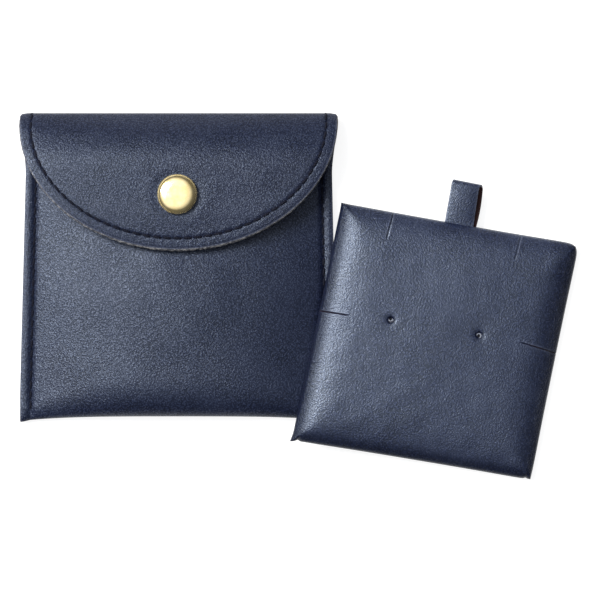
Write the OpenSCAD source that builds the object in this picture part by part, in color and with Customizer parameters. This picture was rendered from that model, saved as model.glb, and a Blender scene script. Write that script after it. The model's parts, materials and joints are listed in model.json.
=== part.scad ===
// Travel jewelry case: a flat snap pouch, folded from one strip, and the padded
// display card that is carried in it. The pouch lies on its back with its front
// up (+Z) and its flap's fold towards +Y. The card lies beside it, with its left
// side resting over the pouch's lower right corner.

/* [Pouch] */
// Width of the pouch over its side seams
pouch_w = 89; // [80:0.5:100]
// Height of the closed pouch, from fold to bottom corners
pouch_h = 88; // [82:0.5:96]
// Thickness of the leatherette
skin_t = 0.9; // [0.7:0.05:0.9]
// Thickness of the suede lining
lining_t = 0.46; // [0.3:0.02:0.48]
// Distance from the cut edge to the row of stitches
seam_in = 2.9; // [2.4:0.1:3.4]
// Thickness of the sewn side seams, all layers
seam_t = 3; // [2.9:0.05:3.2]
// How far the body stands up between its seams
crown = 6.8; // [6.4:0.1:7.4]
// Height of the pocket's mouth above the pouch's middle
mouth_y = 33; // [31:0.5:34]

/* [Flap] */
// Length of the flap from the fold to its tip
flap_l = 39.3; // [37:0.1:41]
// Height of the flap's outer face over the snap
flap_z = 12; // [11.9:0.05:12.3]
// Height of the fold
fold_h = 5.2; // [5:0.1:5.6]

/* [Snap] */
// Distance from the fold to the middle of the snap
snap_drop = 24; // [23:0.5:25]
// Diameter of the snap's domed cap
cap_d = 11.2; // [10:0.1:12.6]
// Height of the cap's dome
cap_rise = 2; // [1.4:0.1:2.2]
// Diameter of the snap's stud head
stud_d = 4; // [3.6:0.1:4.1]

/* [Card] */
// Side of the padded card
card_w = 68; // [66:0.5:69]
// How far the card's corners are out of square, in degrees
card_skew = 1.2; // [0:0.1:1.5]
// Thickness of the card at its middle
card_t = 6.4; // [6.2:0.1:6.6]
// Thickness of the card at its edges
card_edge = 3.2; // [3:0.1:3.4]
// Distance between the two earring holes
hole_gap = 25.4; // [20:0.2:30]
// Inner diameter of the earring eyelets
eyelet_bore = 0.9; // [0.8:0.05:1.1]
// Length of the chain slits
slit_l = 8; // [6:0.5:10]
// Width of the pull loop
loop_w = 8.2; // [6:0.2:10]
// How far the pull loop stands out of the card
loop_l = 11.6; // [9:0.2:13]

/* [Thread] */
// Thickness of the sewing thread
thread_d = 0.5; // [0.4:0.05:0.6]
// Length from one stitch to the next
stitch_pitch = 2.9; // [2.5:0.1:3.5]

/* [Hidden] */
$fn = 48;

navy = "#2e3650";
navy_suede = "#23283a";
thread_navy = "#12172c";
gold = "#e3c067";
steel = "#b9bcc2";
backing_brown = "#2c1512";
foam_grey = "#6b6e76";
board_grey = "#8c857a";
tube_grey = "#9a9ca2";

// Pouch: places along X and Y, all from the middle of its back
half_w = pouch_w / 2;
top_y = pouch_h / 2;
seam_x = half_w - seam_in;
glue = 0.03;
lining_in = skin_t + glue;
layers = lining_in + lining_t;
fold_out = fold_h / 2;
fold_y = top_y - fold_out;
back_flat = 24;
edge_lift = 0.6;
waist = 1.3;
dome_p = 2.8;
mouth_drop = 0.25;
slope_from = -8;
slope_to = 11;
columns = [for (s = [-1, 1]) for (x = s < 0
    ? [half_w, seam_x, 38, 33, 28, back_flat, 14, 5.5]
    : [0, 5.5, 14, back_flat, 28, 33, 38, seam_x, half_w]) s * x];

// Snap: heights of its layers
snap_y = top_y - snap_drop;
front_z = seam_t + crown * (1 - mouth_drop);
pocket_roof = front_z - layers;
flap_under = flap_z - layers;
flange_t = 0.5;
stud_top = flap_under - 0.4;
socket_gap = 0.3;
shank_r = 1.2;
wire_d = 0.4;

// Card: its own frame has its origin in the middle of its underside
card_turn = -10.7;
card_tilt = 5.3;
card_at = [72.8, -21.1];
half_card = card_w / 2;
cover_t = 0.6;
board_t = 1.2;
back_t = 0.4;
hem = 7;
card_p = 5;
hole_mid = [-1.8, 3.7];
eyelet_d = 1.9;
slit_t = 0.35;
slit_x = [-20, 17];
slit_y = 3;
slit_z = 2.2;
loop_z = cover_t + 0.02;
loop_t = 0.6;
loop_gap = 1.6;
loop_clear = 1.2;
tail_l = 9;

function ease(t) = let (c = min(1, max(0, t))) c * c * (3 - 2 * c);
function lift(x) = edge_lift * pow(max(0, abs(x) - back_flat) / (half_w - back_flat), 2);
function dome(x) = 1 - pow(min(1, abs(x) / seam_x), dome_p);
function thick(x) = seam_t + crown * dome(x);
function front_h(x, y) = seam_t
    + crown * dome(x) * (1 - mouth_drop * ease((y - slope_from) / (slope_to - slope_from)));
function bottom_y(x) = -top_y + waist * (1 - pow(x / half_w, 2));

function flipped(rows) = [for (i = [len(rows) - 1 : -1 : 0]) rows[i]];

// A grid of points to a closed sheet: outer and inner are equal lists of rows.
module sheet(outer, inner) {
    m = len(outer) - 1;
    n = len(outer[0]) - 1;
    w = n + 1;
    all = (m + 1) * w;
    points = concat([for (row = outer) for (p = row) p], [for (row = inner) for (p = row) p]);
    rim = concat([for (j = [0 : n - 1]) j], [for (i = [0 : m - 1]) i * w + n],
                 [for (j = [n : -1 : 1]) m * w + j], [for (i = [m : -1 : 1]) i * w]);
    skin = [for (i = [0 : m - 1]) for (j = [0 : n - 1])
        let (a = i * w + j, b = a + 1, c = a + w + 1, d = a + w) each [[a, b, c], [a, c, d]]];
    faces = concat(skin,
        [for (f = skin) [all + f[2], all + f[1], all + f[0]]],
        [for (k = [0 : len(rim) - 1])
            let (a = rim[k], b = rim[(k + 1) % len(rim)])
            each [[b, a, all + a], [b, all + a, all + b]]]);
    polyhedron(points, faces);
}

// The folded strip at column x, d inside its outer face: up the back's middle,
// round the bottom and up the front to the mouth.
function strip(x, d) = let (
        z0 = lift(x), h = thick(x), zc = h / 2, yb = bottom_y(x),
        low = 0.45 * h + 0.7, high = 1.1 * h, y1 = yb + high)
    concat(
        [for (y = [fold_y, 20, -10]) [x, y, z0 + d]],
        [for (t = [0 : 30 : 90]) [x, yb + low - (low - d) * sin(t), z0 + zc - (zc - d) * cos(t)]],
        [for (t = [18 : 18 : 90]) [x, yb + high - (high - d) * cos(t),
                                   z0 + zc + (h - zc - d) * sin(t)]],
        [for (y = [-22, slope_from, 1, slope_to, 22, mouth_y])
            [x, y, z0 + front_h(x, max(y, y1)) - d]]);

module folded_strip(from, to) {
    sheet(flipped([for (x = columns) strip(x, from)]), flipped([for (x = columns) strip(x, to)]));
}

// The half-round fold above the back, from from to to inside its outer face.
function fold_row(x, d) = let (z0 = lift(x), r = (fold_h - z0) / 2)
    [for (a = [-90 : 22.5 : 90])
        [x, fold_y + 0.03 + (fold_out - d) * cos(a), z0 + r + (r - d) * sin(a)]];

module fold_strip(from, to) {
    sheet([for (x = columns) fold_row(x, from)], [for (x = columns) fold_row(x, to)]);
}

// Height of the flap's outer face, s below the fold's middle.
rise_l = 15;
tip_drop = 0.9;
droop = 1.5;
function flap_height(x, s) = fold_h
    + (flap_z - fold_h) * pow(1 - pow(1 - min(1, s / rise_l), 2.2), 0.85)
    - tip_drop * ease((s - 27) / (flap_l - 27))
    - droop * pow(abs(x) / half_w, 3) * min(1, s / 8);
flap_reach = flap_l - fold_out;
flap_rows = [0, 5, 11, 17, 24, 31, 39, 47, 56, 66, 76, 85];
flap_share = [-1, -0.92, -0.8, -0.62, -0.4, -0.14, 0.14, 0.4, 0.62, 0.8, 0.92, 1];
function flap_row(f, d, grow) = let (
        s = (flap_reach + grow) * sin(f), w = (half_w + grow) * cos(f))
    [for (u = flap_share) [u * w, fold_y - 0.03 - s, flap_height(u * w, s) - d]];

module flap_sheet(from, to, grow) {
    difference() {
        sheet([for (f = flap_rows) flap_row(f, from, grow)],
              [for (f = flap_rows) flap_row(f, to, grow)]);
        translate([0, snap_y, flap_under - 2]) cylinder(r = shank_r + 0.05, h = 6);
    }
}

module outer_shell() {
    color(navy) difference() {
        folded_strip(0, skin_t);
        translate([0, snap_y, front_z - 3]) cylinder(r = shank_r + 0.05, h = 5);
    }
}

module pocket_lining() {
    color(navy_suede) difference() {
        folded_strip(lining_in, layers);
        translate([0, snap_y, front_z - 3]) cylinder(r = shank_r + 0.05, h = 5);
    }
}

module fold_outer() { color(navy) fold_strip(0, skin_t); }

module fold_lining() { color(navy_suede) fold_strip(lining_in, layers); }

module flap_outer() { color(navy) flap_sheet(0, skin_t, 0); }

module flap_lining() { color(navy_suede) flap_sheet(lining_in, layers, 0.3); }

// One straight stitch from a to b.
module stitch(a, b) {
    v = b - a;
    l = norm(v);
    translate(a) rotate([0, acos(v[2] / l), atan2(v[1], v[0])])
        cylinder(d = thread_d, h = l, $fn = 16);
}

// Stitches with gaps between them, one for each step of a list of places.
module stitches(path) {
    for (k = [0 : len(path) - 2]) {
        step = path[k + 1] - path[k];
        stitch(path[k] + 0.09 * step, path[k + 1] - 0.09 * step);
    }
}

sink = 0.1;
module side_stitch(side) {
    x = side * seam_x;
    z0 = lift(x);
    low = bottom_y(x) + 2.6;
    front = floor((mouth_y - 0.4 - low) / stitch_pitch);
    back = floor((fold_y - 0.4 - low) / stitch_pitch);
    color(thread_navy) {
        stitches([for (k = [0 : front]) [x, low + k * stitch_pitch, z0 + seam_t + sink]]);
        stitches([for (k = [0 : back]) [x, low + k * stitch_pitch, z0 - sink]]);
    }
}

module side_stitch_left() { side_stitch(-1); }

module side_stitch_right() { side_stitch(1); }

// The row along the flap's curved edge: an ellipse inside it, walked at equal steps.
seam_a = half_w - seam_in;
seam_b = flap_reach - seam_in;
flap_steps = 2 * floor(quarter_length(90) / stitch_pitch);
function quarter_length(to, from = 0, step = 1) = from >= to ? 0
    : step * PI / 180 * norm([seam_a * sin(from + step / 2), seam_b * cos(from + step / 2)])
        + quarter_length(to, from + step, step);
function angle_at(l, a = 0, step = 0.5) = l <= 0 ? a
    : angle_at(l - step * PI / 180 * norm([seam_a * sin(a), seam_b * cos(a)]), a + step);
function flap_stitch_at(k) = let (
        half = flap_steps / 2,
        f = angle_at((half - abs(k - half)) * stitch_pitch),
        side = k < half ? -1 : 1)
    [side * seam_a * cos(f), seam_b * sin(f)];

module flap_stitch() {
    places = [for (k = [0 : flap_steps]) flap_stitch_at(k)];
    color(thread_navy) for (face = [sink, -layers - sink])
        stitches([for (p = places)
            [p[0], fold_y - 0.6 - p[1], flap_height(p[0], p[1] + 0.6) + face]]);
}

// Snap: the stud and its post hold the front, the cap and its socket hold the flap.
module snap_stud() {
    neck = stud_d / 2 - 0.55;
    h = stud_top - front_z;
    color(gold) translate([0, snap_y, front_z]) rotate_extrude() polygon([
        [shank_r + 0.02, 0.02], [4.6, 0.02], [4.6, flange_t], [neck + 0.5, flange_t + 0.1],
        [neck, flange_t + 0.3], [neck, 1.4], [stud_d / 2, 1.65],
        [stud_d / 2, h - 0.25], [stud_d / 2 - 0.4, h], [shank_r + 0.02, h]]);
}

module snap_post() {
    color(gold) translate([0, snap_y, pocket_roof]) rotate_extrude() polygon([
        [0.5, -flange_t - 0.06], [4.1, -flange_t - 0.06], [4.3, -flange_t / 2], [4.1, -0.06],
        [shank_r, -0.06], [shank_r, layers + 1.2], [0.5, layers + 1.2]]);
}

module snap_cap() {
    r = cap_d / 2;
    dome_r = (r * r + cap_rise * cap_rise) / (2 * cap_rise);
    color(gold) translate([0, snap_y, flap_z]) {
        difference() {
            intersection() {
                translate([0, 0, cap_rise + 0.5 - dome_r]) sphere(r = dome_r, $fn = 96);
                translate([0, 0, 0.02]) cylinder(r = r, h = cap_rise + 1);
            }
            translate([0, 0, cap_rise + 0.1 - dome_r]) intersection() {
                sphere(r = dome_r, $fn = 96);
                cylinder(r = r - 0.5, h = 2 * dome_r);
            }
        }
        translate([0, 0, 0.15 - layers]) cylinder(r = shank_r, h = layers + cap_rise);
    }
}

socket_z0 = front_z + flange_t + socket_gap;
bore = stud_d / 2 + 0.55;
wire_x = stud_d / 2 - 0.1;
wire_z = 0.35;
module snap_socket() {
    h = flap_under - socket_z0;
    color(gold) translate([0, snap_y, socket_z0]) difference() {
        rotate_extrude() polygon([
            [bore, 0], [3.6, 0], [3.8, 0.9], [4.9, h - 0.5], [4.9, h - 0.02],
            [shank_r + 0.04, h - 0.02], [shank_r + 0.04, h - 0.32], [bore, h - 0.32]]);
        for (s = [-1, 1]) translate([s * wire_x, 0, wire_z])
            cube([wire_d + 0.1, 5.6, wire_d + 0.1], center = true);
    }
}

module snap_spring() {
    color(steel) for (s = [-1, 1]) translate([s * wire_x, snap_y, socket_z0 + wire_z])
        rotate([90, 0, 0]) cylinder(d = wire_d, h = 5.4, center = true, $fn = 24);
}

// Card: everything below is modelled in the card's own frame, then put in place.
k_skew = tan(card_skew);
function skewed(x, y) = [x + k_skew * y, y + k_skew * x];
function card_side(u, in) = (half_card - in) * u;
function card_top(x, y) = card_edge + (card_t - card_edge)
    * pow(1 - pow(min(1, abs(x) / half_card), card_p), 0.6)
    * pow(1 - pow(min(1, abs(y) / half_card), card_p), 0.6);
card_share = [-1, -0.97, -0.9, -0.78, -0.55, -0.2, 0.2, 0.55, 0.78, 0.9, 0.97, 1];

module card_place() {
    rise = (half_card * (1 + k_skew)) * sin(card_tilt) + 0.03;
    translate([card_at[0], card_at[1], rise]) rotate([0, card_tilt, card_turn]) children();
}

// A crowned block: its top follows the card's top, drop below it, in from its sides.
module pillow(in, floor_z, drop) {
    function at(u, v, z) = let (x = card_side(u, in), y = card_side(v, in), p = skewed(x, y))
        [p[0], p[1], z];
    sheet(flipped([for (v = card_share) [for (u = card_share)
              at(u, v, card_top(card_side(u, in), card_side(v, in)) - drop)]]),
          flipped([for (v = card_share) [for (u = card_share) at(u, v, floor_z)]]));
}

module skew_plate(side, t, z) {
    translate([0, 0, z]) linear_extrude(t)
        polygon([for (c = [[-1, -1], [1, -1], [1, 1], [-1, 1]]) skewed(c[0] * side, c[1] * side)]);
}

// Where an earring hole comes in the card: side is -1 for the left one and 1 for the right one.
function hole_at(side) = [hole_mid[0] + side * hole_gap / 2, hole_mid[1]];

module earring_holes(r) {
    for (s = [-1, 1]) translate([hole_at(s)[0], hole_at(s)[1], -1]) cylinder(r = r, h = card_t + 2);
}

// Knife cuts for chains: two in the top edge and one in each side edge.
module slits() {
    for (x = slit_x) translate([x - slit_t / 2, half_card - slit_l, slit_z])
        cube([slit_t, slit_l + 3, card_t]);
    for (s = [-1, 1]) translate([s * (half_card - slit_l / 2 + 1.5), slit_y, slit_z + card_t / 2])
        cube([slit_l + 3, slit_t, card_t], center = true);
}

// The dimples that the eyelets pull into the cover.
module dimples() {
    top = card_top(hole_gap / 2, hole_mid[1]);
    for (s = [-1, 1]) translate([hole_at(s)[0], hole_at(s)[1], top - 0.45])
        cylinder(r1 = eyelet_d / 2 + 0.1, r2 = 2.2, h = 0.55);
}

module card_cover() {
    color(navy) card_place() difference() {
        pillow(0, 0, 0);
        pillow(cover_t, cover_t, cover_t);
        skew_plate(half_card - hem, 2, -1);
        translate([-loop_w / 2 - 0.2, half_card - 2, loop_z - 0.1])
            cube([loop_w + 0.4, 4, loop_t + 0.2]);
        earring_holes(eyelet_d / 2 + 0.02);
        dimples();
        slits();
    }
}

module card_foam() {
    color(foam_grey) card_place() difference() {
        pillow(cover_t + 0.03, cover_t + board_t + 0.04, cover_t + 0.03);
        earring_holes(eyelet_d / 2 + 0.02);
        slits();
    }
}

module card_board() {
    color(board_grey) card_place() difference() {
        skew_plate(half_card - cover_t - 0.2, board_t, cover_t + 0.02);
        translate([-loop_w / 2 - 0.2, half_card - tail_l - 0.2, 0])
            cube([loop_w + 0.4, tail_l + 3, loop_z + loop_t + 0.04]);
        earring_holes(eyelet_d / 2 + 0.02);
    }
}

module card_back() {
    color(navy_suede) card_place() difference() {
        skew_plate(half_card - hem - 0.1, back_t, cover_t - back_t);
        earring_holes(eyelet_d / 2 + 0.02);
    }
}

module eyelet(side) {
    top = card_top(hole_gap / 2, hole_mid[1]) - 0.3;
    color(tube_grey) card_place() translate([hole_at(side)[0], hole_at(side)[1], 0.05]) difference() {
        cylinder(d = eyelet_d, h = top);
        translate([0, 0, -1]) cylinder(d = eyelet_bore, h = card_t + 2);
    }
}

module eyelet_left() { eyelet(-1); }

module eyelet_right() { eyelet(1); }

// The loop's glued ends lie in a notch of the board, over the hem.
module loop_tail() {
    color(navy) card_place() translate([-loop_w / 2, half_card - tail_l, loop_z])
        cube([loop_w, tail_l + 0.2, loop_t]);
}

// The loop that stands out: a strip bent round on itself.
loop_r = loop_gap / 2;
loop_run = loop_l - loop_clear - loop_t - loop_r;
loop_lean = asin((loop_r - 0.05) / loop_run);
function loop_line(r) = concat([[0, loop_r - r - 0.05]],
    [for (k = [-8 : 8]) let (a = k / 8 * (90 + loop_lean)) [loop_run + r * cos(a), r * sin(a)]],
    [[0, r - loop_r + 0.05]]);

module pull_loop() {
    color(navy) card_place()
        translate([-loop_w / 2, half_card + loop_clear, loop_z + loop_t / 2])
        rotate([90, 0, 90]) linear_extrude(loop_w)
        polygon(concat(loop_line(loop_r + loop_t), flipped(loop_line(loop_r))));
}

outer_shell();
pocket_lining();
side_stitch_left();
side_stitch_right();
snap_stud();
snap_post();
fold_outer();
fold_lining();
flap_outer();
flap_lining();
flap_stitch();
snap_cap();
snap_socket();
snap_spring();
card_cover();
card_foam();
card_board();
card_back();
eyelet_left();
eyelet_right();
loop_tail();
pull_loop();
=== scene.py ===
import json
import math

import bpy
import numpy as np
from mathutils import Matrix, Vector


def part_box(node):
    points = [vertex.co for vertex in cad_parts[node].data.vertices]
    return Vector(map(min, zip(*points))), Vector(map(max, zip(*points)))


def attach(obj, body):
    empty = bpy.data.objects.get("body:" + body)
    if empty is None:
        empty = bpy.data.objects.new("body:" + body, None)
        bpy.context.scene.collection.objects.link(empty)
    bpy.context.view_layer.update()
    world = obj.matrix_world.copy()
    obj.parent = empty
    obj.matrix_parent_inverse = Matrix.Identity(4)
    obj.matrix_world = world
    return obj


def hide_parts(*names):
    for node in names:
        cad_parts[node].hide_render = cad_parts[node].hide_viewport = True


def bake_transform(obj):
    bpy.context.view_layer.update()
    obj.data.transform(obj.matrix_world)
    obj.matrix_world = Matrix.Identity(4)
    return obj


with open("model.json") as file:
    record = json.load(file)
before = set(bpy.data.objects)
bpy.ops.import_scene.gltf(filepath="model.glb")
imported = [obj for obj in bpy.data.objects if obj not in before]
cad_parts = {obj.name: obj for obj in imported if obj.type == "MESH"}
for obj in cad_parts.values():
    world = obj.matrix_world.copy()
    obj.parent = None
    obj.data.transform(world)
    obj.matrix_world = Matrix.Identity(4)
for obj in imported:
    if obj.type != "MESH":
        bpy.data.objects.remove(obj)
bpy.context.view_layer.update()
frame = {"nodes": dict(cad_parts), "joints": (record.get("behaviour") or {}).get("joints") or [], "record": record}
record = frame["record"]
nodes = frame["nodes"]
joints = {j["name"]: j for j in frame["joints"]}
mounts = {m["name"]: m for m in record["mounts"]}

# ---------------------------------------------------------------- sizes, in mm
# X runs across the pouch, Y up it, Z off the table. The outline comes from the CAD's boxes, and the
# rest nearly all repeats part.scad's numbers. FLAP_A and FLAP_B are the flap's half-axes.
def box_mm(node):
    """The two corners of a CAD node's box."""
    return [np.array(corner) * 1000 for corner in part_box(node)]


shell_lo, shell_hi = box_mm("outer_shell")
fold_hi = box_mm("fold_outer")[1]
flap_lo, flap_hi = box_mm("flap_outer")
cap_lo, cap_hi = box_mm("snap_cap")
HALF_W = shell_hi[0]
BOTTOM_Y = shell_lo[1] + 0.5
SKIN = 0.9
LINING_IN = 0.93
LINING = 0.46
LAYERS = LINING_IN + LINING
SEAM_IN = 2.9
SEAM_X = HALF_W - SEAM_IN
SEAM_T = 3.0
CROWN = shell_hi[2] - SEAM_T
FOLD_H = fold_hi[2]
FOLD_R = FOLD_H / 2
FOLD_Y = shell_hi[1]
MOUTH_Y = 33.0
MOUTH_DROP = 0.25
BACK_FLAT = 24.0
EDGE_LIFT = 0.6
WAIST = 1.25
FLAP_A = HALF_W + 0.35
FLAP_B = FOLD_Y - flap_lo[1] + 0.1
FLAP_Z = flap_hi[2]
SNAP_Y = (cap_lo[1] + cap_hi[1]) / 2
PITCH = 2.9
STITCH_IN = 3.0


def ease(t):
    """A soft step from 0 to 1."""
    t = np.clip(t, 0.0, 1.0)
    return t * t * (3 - 2 * t)


def bump(d, width):
    """A bell, 1 where d is 0."""
    return np.exp(-((d / width) ** 2))


def ripple(x, y, size, seed):
    """Soft, even undulation from a few waves, between -1 and 1."""
    rng = np.random.default_rng(seed)
    out = np.zeros(np.broadcast(x, y).shape)
    for _ in range(7):
        angle, phase = rng.uniform(0, math.tau, 2)
        k = math.tau / (size * rng.uniform(0.7, 1.6))
        out += np.sin(k * (x * math.cos(angle) + y * math.sin(angle)) + phase)
    return out / 4.5


# ---------------------------------------------------------------- materials
def srgb(r, g, b):
    out = []
    for c in (r, g, b):
        c /= 255
        out.append(c / 12.92 if c <= 0.04045 else ((c + 0.055) / 1.055) ** 2.4)
    return (*out, 1.0)


class Nodes:
    """A material's node tree, with short calls to add to it."""

    def __init__(self, name):
        self.material = bpy.data.materials.new(name)
        self.material.use_nodes = True
        self.tree = self.material.node_tree
        self.tree.nodes.clear()
        self.out = self.tree.nodes.new("ShaderNodeOutputMaterial")
        self.shader = self.tree.nodes.new("ShaderNodeBsdfPrincipled")
        self.link(self.shader.outputs[0], self.out.inputs[0])

    def link(self, a, b):
        self.tree.links.new(a, b)

    def add(self, kind, **values):
        node = self.tree.nodes.new(kind)
        for key, value in values.items():
            setattr(node, key, value)
        return node

    def feed(self, socket, value):
        """Links a socket to a node's output, or sets its value."""
        if hasattr(value, "is_output"):
            self.link(value, socket)
        else:
            socket.default_value = value

    def put(self, node, **inputs):
        for key, value in inputs.items():
            self.feed(node.inputs[key.replace("_", " ")], value)
        return node

    def coords(self, scale=(1, 1, 1)):
        source = self.add("ShaderNodeAttribute", attribute_name="grain_co")
        mapping = self.put(self.add("ShaderNodeMapping"), Vector=source.outputs["Vector"])
        mapping.inputs["Scale"].default_value = scale
        return mapping.outputs[0]

    def noise(self, vector, scale, detail=3.0, rough=0.5):
        node = self.add("ShaderNodeTexNoise")
        self.put(node, Vector=vector, Scale=scale, Detail=detail, Roughness=rough)
        return node.outputs["Fac"]

    def voronoi(self, vector, scale, feature="F1"):
        node = self.add("ShaderNodeTexVoronoi", feature=feature)
        self.put(node, Vector=vector, Scale=scale)
        return node.outputs["Distance"]

    def ramp(self, value, low, high, a=0.0, b=1.0):
        node = self.add("ShaderNodeMapRange", clamp=True)
        self.put(node, Value=value)
        for key, v in (("From Min", low), ("From Max", high), ("To Min", a), ("To Max", b)):
            node.inputs[key].default_value = v
        return node.outputs["Result"]

    def math(self, kind, a, b=0.0, c=0.0):
        node = self.add("ShaderNodeMath", operation=kind)
        for socket, value in zip(node.inputs, (a, b, c)):
            self.feed(socket, value)
        return node.outputs[0]

    def mix(self, factor, a, b):
        node = self.add("ShaderNodeMix", data_type="RGBA")
        for place, value in ((0, factor), (6, a), (7, b)):
            self.feed(node.inputs[place], value)
        return node.outputs[2]

    def bump(self, height, distance, strength=1.0, normal=None):
        node = self.add("ShaderNodeBump")
        self.put(node, Height=height, Distance=distance, Strength=strength)
        if normal is not None:
            self.link(normal, node.inputs["Normal"])
        return node.outputs[0]

    def finish(self, **inputs):
        self.put(self.shader, **inputs)
        return self.material


def leatherette(name, light=1.0, gloss=0.0):
    """Navy leatherette: a fine pebbled grain with a soft sheen. It is lighter where the points' wear is high, and
    painted darker and duller where seam is high: painted shade along the stitch lines, round an eyelet and on the
    card's sides."""
    n = Nodes(name)
    at = n.coords()
    warp = n.add("ShaderNodeVectorMath", operation="MULTIPLY_ADD")
    wobble = n.add("ShaderNodeTexNoise")
    n.put(wobble, Vector=at, Scale=0.9, Detail=2.0)
    n.link(wobble.outputs["Color"], warp.inputs[0])
    warp.inputs[1].default_value = (0.55, 0.55, 0.55)
    n.link(at, warp.inputs[2])
    warped = warp.outputs[0]
    pebble = n.voronoi(warped, 2.15, "SMOOTH_F1")
    crease = n.voronoi(warped, 3.1, "F1")
    fine = n.noise(at, 2.35, 3.0, 0.6)
    broad = n.noise(at, 0.085, 3.0, 0.55)
    height = n.math("ADD", n.math("MULTIPLY", pebble, -0.55), n.math("MULTIPLY", crease, -0.4))
    height = n.math("ADD", height, n.math("MULTIPLY", fine, 0.75))
    creases = n.ramp(height, -0.12, 0.16)
    deep = srgb(12 * light, 16 * light, 31 * light)
    face = srgb(24 * light, 32 * light, 60 * light)
    warm = srgb(30 * light, 36 * light, 56 * light)
    tone = n.mix(creases, deep, face)
    tone = n.mix(n.ramp(broad, 0.35, 0.7, 0.0, 0.5), tone, warm)
    worn = n.add("ShaderNodeAttribute", attribute_name="wear")
    painted_shade = n.add("ShaderNodeAttribute", attribute_name="seam")
    scuff = n.math("MULTIPLY", worn.outputs["Fac"], n.ramp(fine, 0.3, 0.7, 0.25, 1.0))
    tone = n.mix(scuff, tone, srgb(118, 124, 142))
    # Painted shade: where seam is high the colour is drawn towards near black.
    tone = n.mix(n.math("MULTIPLY", painted_shade.outputs["Fac"], 0.6), tone, srgb(3, 4, 10))
    cloudy = n.math("ADD", n.math("MULTIPLY", fine, 0.6), n.math("MULTIPLY", broad, 0.5))
    rough = n.ramp(cloudy, 0.3, 0.8, 0.33, 0.41)
    normal = n.bump(height, 0.00014, 1.0)
    shine = n.ramp(height, -0.12, 0.16, 0.3 + gloss, 0.78 + gloss)
    # Painted shade also dulls the sheen where seam is high.
    shine = n.math("MULTIPLY", shine, n.math("MULTIPLY_ADD", painted_shade.outputs["Fac"], -0.97, 1.0))
    n.link(shine, n.shader.inputs["Specular IOR Level"])
    n.shader.inputs["Specular Tint"].default_value = (0.72, 0.83, 1.0, 1.0)
    return n.finish(Base_Color=tone, Roughness=rough, Normal=normal)


def cut_edge():
    """The leatherette's cut edge: pale backing fibres under a thin dark face."""
    n = Nodes("leatherette_cut_edge")
    at = n.coords((1.0, 1.0, 4.0))
    fibre = n.noise(at, 5.5, 4.0, 0.7)
    clump = n.noise(at, 1.1, 2.0, 0.5)
    tone = n.mix(n.ramp(fibre, 0.38, 0.64), srgb(30, 33, 44), srgb(150, 150, 152))
    tone = n.mix(n.ramp(clump, 0.40, 0.56, 0.0, 0.88), tone, srgb(22, 25, 38))
    return n.finish(Base_Color=tone, Roughness=n.ramp(fibre, 0.2, 0.8, 0.8, 0.98),
                    Normal=n.bump(fibre, 0.0001, 0.9))


def suede(name, dark, pale, sheen):
    """Short brushed nap, with lighter and darker strokes."""
    n = Nodes(name)
    at = n.coords()
    nap = n.noise(n.coords((1.0, 3.2, 1.0)), 2.6, 5.0, 0.7)
    stroke = n.noise(at, 0.11, 3.0, 0.6)
    tone = n.mix(n.ramp(nap, 0.3, 0.7), srgb(*dark), srgb(*pale))
    tone = n.mix(n.ramp(stroke, 0.42, 0.66, 0.0, 0.45), tone, srgb(*pale))
    n.shader.inputs["Sheen Weight"].default_value = sheen
    n.shader.inputs["Sheen Roughness"].default_value = 0.35
    return n.finish(Base_Color=tone, Roughness=n.ramp(nap, 0.2, 0.8, 0.86, 0.98),
                    Normal=n.bump(nap, 0.00012, 0.8))


def thread_material():
    """Waxed two-ply polyester thread: the plies turn round each other along each stitch."""
    n = Nodes("thread_navy")
    source = n.add("ShaderNodeAttribute", attribute_name="grain_co")
    split = n.add("ShaderNodeSeparateXYZ")
    n.link(source.outputs["Vector"], split.inputs[0])
    turn = n.math("ADD", n.math("MULTIPLY", split.outputs[0], 7.5), n.math("MULTIPLY", split.outputs[1], 2.0))
    ply = n.ramp(n.math("SINE", turn), -1.0, 1.0)
    fuzz = n.noise(source.outputs["Vector"], 6.0, 3.0, 0.6)
    tone = n.mix(ply, srgb(4, 5, 12), srgb(13, 16, 32))
    tone = n.mix(n.ramp(fuzz, 0.55, 0.75, 0.0, 0.35), tone, srgb(28, 32, 52))
    n.shader.inputs["Specular IOR Level"].default_value = 0.15
    height = n.math("ADD", ply, n.math("MULTIPLY", fuzz, 0.4))
    return n.finish(Base_Color=tone, Roughness=n.ramp(fuzz, 0.3, 0.7, 0.7, 0.85),
                    Normal=n.bump(height, 0.00005, 0.7))


def brass_material(name, rough, metal, tint=1.0):
    """Polished brass plating: faint rubbing marks, and a little darker where it tarnishes."""
    n = Nodes(name)
    at = n.coords()
    cloud = n.noise(at, 0.45, 3.0, 0.55)
    marks = n.noise(n.coords((9.0, 0.8, 0.8)), 2.0, 4.0, 0.6)
    dull, bright = (srgb(*(c * tint for c in colour)) for colour in ((238, 214, 152), (250, 232, 182)))
    tone = n.mix(n.ramp(cloud, 0.35, 0.7), dull, bright)
    roughness = n.ramp(n.math("ADD", marks, n.math("MULTIPLY", cloud, 0.4)), 0.45, 0.95, rough, rough + 0.1)
    n.shader.inputs["Metallic"].default_value = metal
    return n.finish(Base_Color=tone, Roughness=roughness, Normal=n.bump(marks, 0.000008, 0.35))


def steel_material():
    """Drawn spring wire, streaked along its length."""
    n = Nodes("spring_steel")
    drawn = n.noise(n.coords((1.0, 0.1, 1.0)), 9.0, 3.0, 0.6)
    n.shader.inputs["Metallic"].default_value = 1.0
    tone = n.mix(drawn, srgb(150, 152, 158), srgb(205, 207, 212))
    return n.finish(Base_Color=tone, Roughness=n.ramp(drawn, 0.3, 0.7, 0.22, 0.4))


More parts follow.
